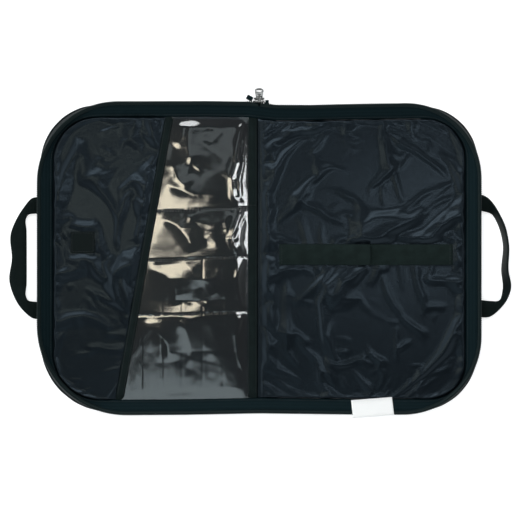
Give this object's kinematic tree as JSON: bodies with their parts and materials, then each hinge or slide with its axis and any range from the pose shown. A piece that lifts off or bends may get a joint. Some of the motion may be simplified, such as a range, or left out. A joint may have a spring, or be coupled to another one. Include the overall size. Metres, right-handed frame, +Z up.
{
  "type": "portfolio case",
  "caption": "Soft zip-round portfolio case lying open flat, with a spine, clear brush pockets, a slant pocket, a pad strap and two webbing handles.",
  "frame": {"origin": "middle of the spine's underside, on the table that the open case lies on", "axes": "+X from the spine to the right half, +Y towards the zip slider, +Z up, the case's inside up"},
  "size_m": [0.5951, 0.3949, 0.0206],
  "materials": {
    "cover_nylon": "dense woven nylon, faint sheen",
    "lining_nylon": "light ripstop nylon, satin sheen, puckered at the seams",
    "board": "grey board, matt",
    "foam": "open-cell foam, matt",
    "zip_tape": "ribbed woven tape",
    "zip_coil": "nylon coil, slight shine",
    "binding": "grosgrain tape, two rows of stitches",
    "hook_and_loop": "napped tape, box stitched",
    "clear_vinyl": "clear flexible vinyl, rippled and glossy",
    "webbing": "flat woven webbing",
    "strap": "flat ribbed webbing",
    "label_cloth": "plain woven satin label, blank",
    "cast_zinc": "bright nickel-plated zinc casting"
  },
  "bodies": {
    "left_half": {"left_cover": "cover_nylon", "left_piping": "cover_nylon", "left_board": "board", "left_foam": "foam", "left_lining": "lining_nylon", "left_gusset": "cover_nylon", "left_zip_tape": "zip_tape", "left_zip_coil": "zip_coil", "slant_pocket": "lining_nylon", "slant_binding": "binding", "pocket_patch": "hook_and_loop", "clear_pocket_1": "clear_vinyl", "clear_pocket_2": "clear_vinyl", "clear_pocket_3": "clear_vinyl", "clear_pocket_4": "clear_vinyl", "left_handle_sewn_end_upper": "webbing", "left_handle_sewn_end_lower": "webbing"},
    "spine": {"spine_cover": "cover_nylon", "spine_lining": "lining_nylon", "spine_binding": "binding", "spine_piping_top": "cover_nylon", "spine_piping_bottom": "cover_nylon", "spine_gusset_top": "cover_nylon", "spine_gusset_bottom": "cover_nylon", "spine_zip_tape_top": "zip_tape", "spine_zip_tape_bottom": "zip_tape", "spine_zip_coil_bottom": "zip_coil", "zip_chain_end": "zip_coil", "zip_tape_end_left": "zip_tape", "zip_tape_end_right": "zip_tape"},
    "right_half": {"right_cover": "cover_nylon", "right_piping": "cover_nylon", "right_board": "board", "right_foam": "foam", "right_lining": "lining_nylon", "right_gusset": "cover_nylon", "right_zip_tape": "zip_tape", "right_zip_coil": "zip_coil", "right_handle_sewn_end_upper": "webbing", "right_handle_sewn_end_lower": "webbing", "strap_upper_sewn_end": "strap", "strap_lower_sewn_end": "strap"},
    "left_handle": {"left_handle": "webbing"},
    "right_handle": {"right_handle": "webbing"},
    "strap_upper": {"strap_upper": "strap", "strap_hook_patch": "hook_and_loop"},
    "strap_lower": {"strap_lower": "strap", "strap_loop_patch": "hook_and_loop"},
    "label": {"label": "label_cloth"},
    "slider": {"slider_body": "cast_zinc"},
    "pull": {"slider_pull": "cast_zinc"}
  },
  "joints": [
    {"name": "spine_fold", "type": "hinge", "parent": "left_half", "child": "spine", "pos_m": [-0.0147, 0, 0.0045], "axis": [0, -1, 0], "range_deg": [0, 90]},
    {"name": "cover_fold", "type": "hinge", "parent": "spine", "child": "right_half", "pos_m": [0.0147, 0, 0.0045], "axis": [0, -1, 0], "range_deg": [0, 90]},
    {"name": "left_handle_swing", "type": "hinge", "parent": "left_half", "child": "left_handle", "pos_m": [-0.2683, 0, 0.0038], "axis": [0, 1, 0], "range_deg": [-80, 60]},
    {"name": "right_handle_swing", "type": "hinge", "parent": "right_half", "child": "right_handle", "pos_m": [0.2683, 0, 0.0038], "axis": [0, 1, 0], "range_deg": [-60, 80]},
    {"name": "strap_peel", "type": "hinge", "parent": "right_half", "child": "strap_upper", "pos_m": [0.0287, 0, 0.00815], "axis": [0, 1, 0], "range_deg": [-150, 0]},
    {"name": "strap_lower_lift", "type": "hinge", "parent": "right_half", "child": "strap_lower", "pos_m": [0.2275, 0, 0.00815], "axis": [0, 1, 0], "range_deg": [0, 60]},
    {"name": "label_flip", "type": "hinge", "parent": "right_half", "child": "label", "pos_m": [0.1348, -0.1681, 0.008], "axis": [0.997, 0.0769, 0], "range_deg": [-150, 0]},
    {"name": "slider_travel", "type": "slide", "parent": "spine", "child": "slider", "axis": [0, 0, 1], "range_m": [0, 0.008]},
    {"name": "pull_swing", "type": "hinge", "parent": "slider", "child": "pull", "pos_m": [0, 0.1934, 0.0156], "axis": [1, 0, 0], "range_deg": [-25, 140]}
  ],
  "couplings": [
    {"joint": "cover_fold", "follows": "spine_fold", "ratio": 1},
    {"joint": "strap_lower_lift", "follows": "strap_peel", "ratio": -0.4}
  ]
}
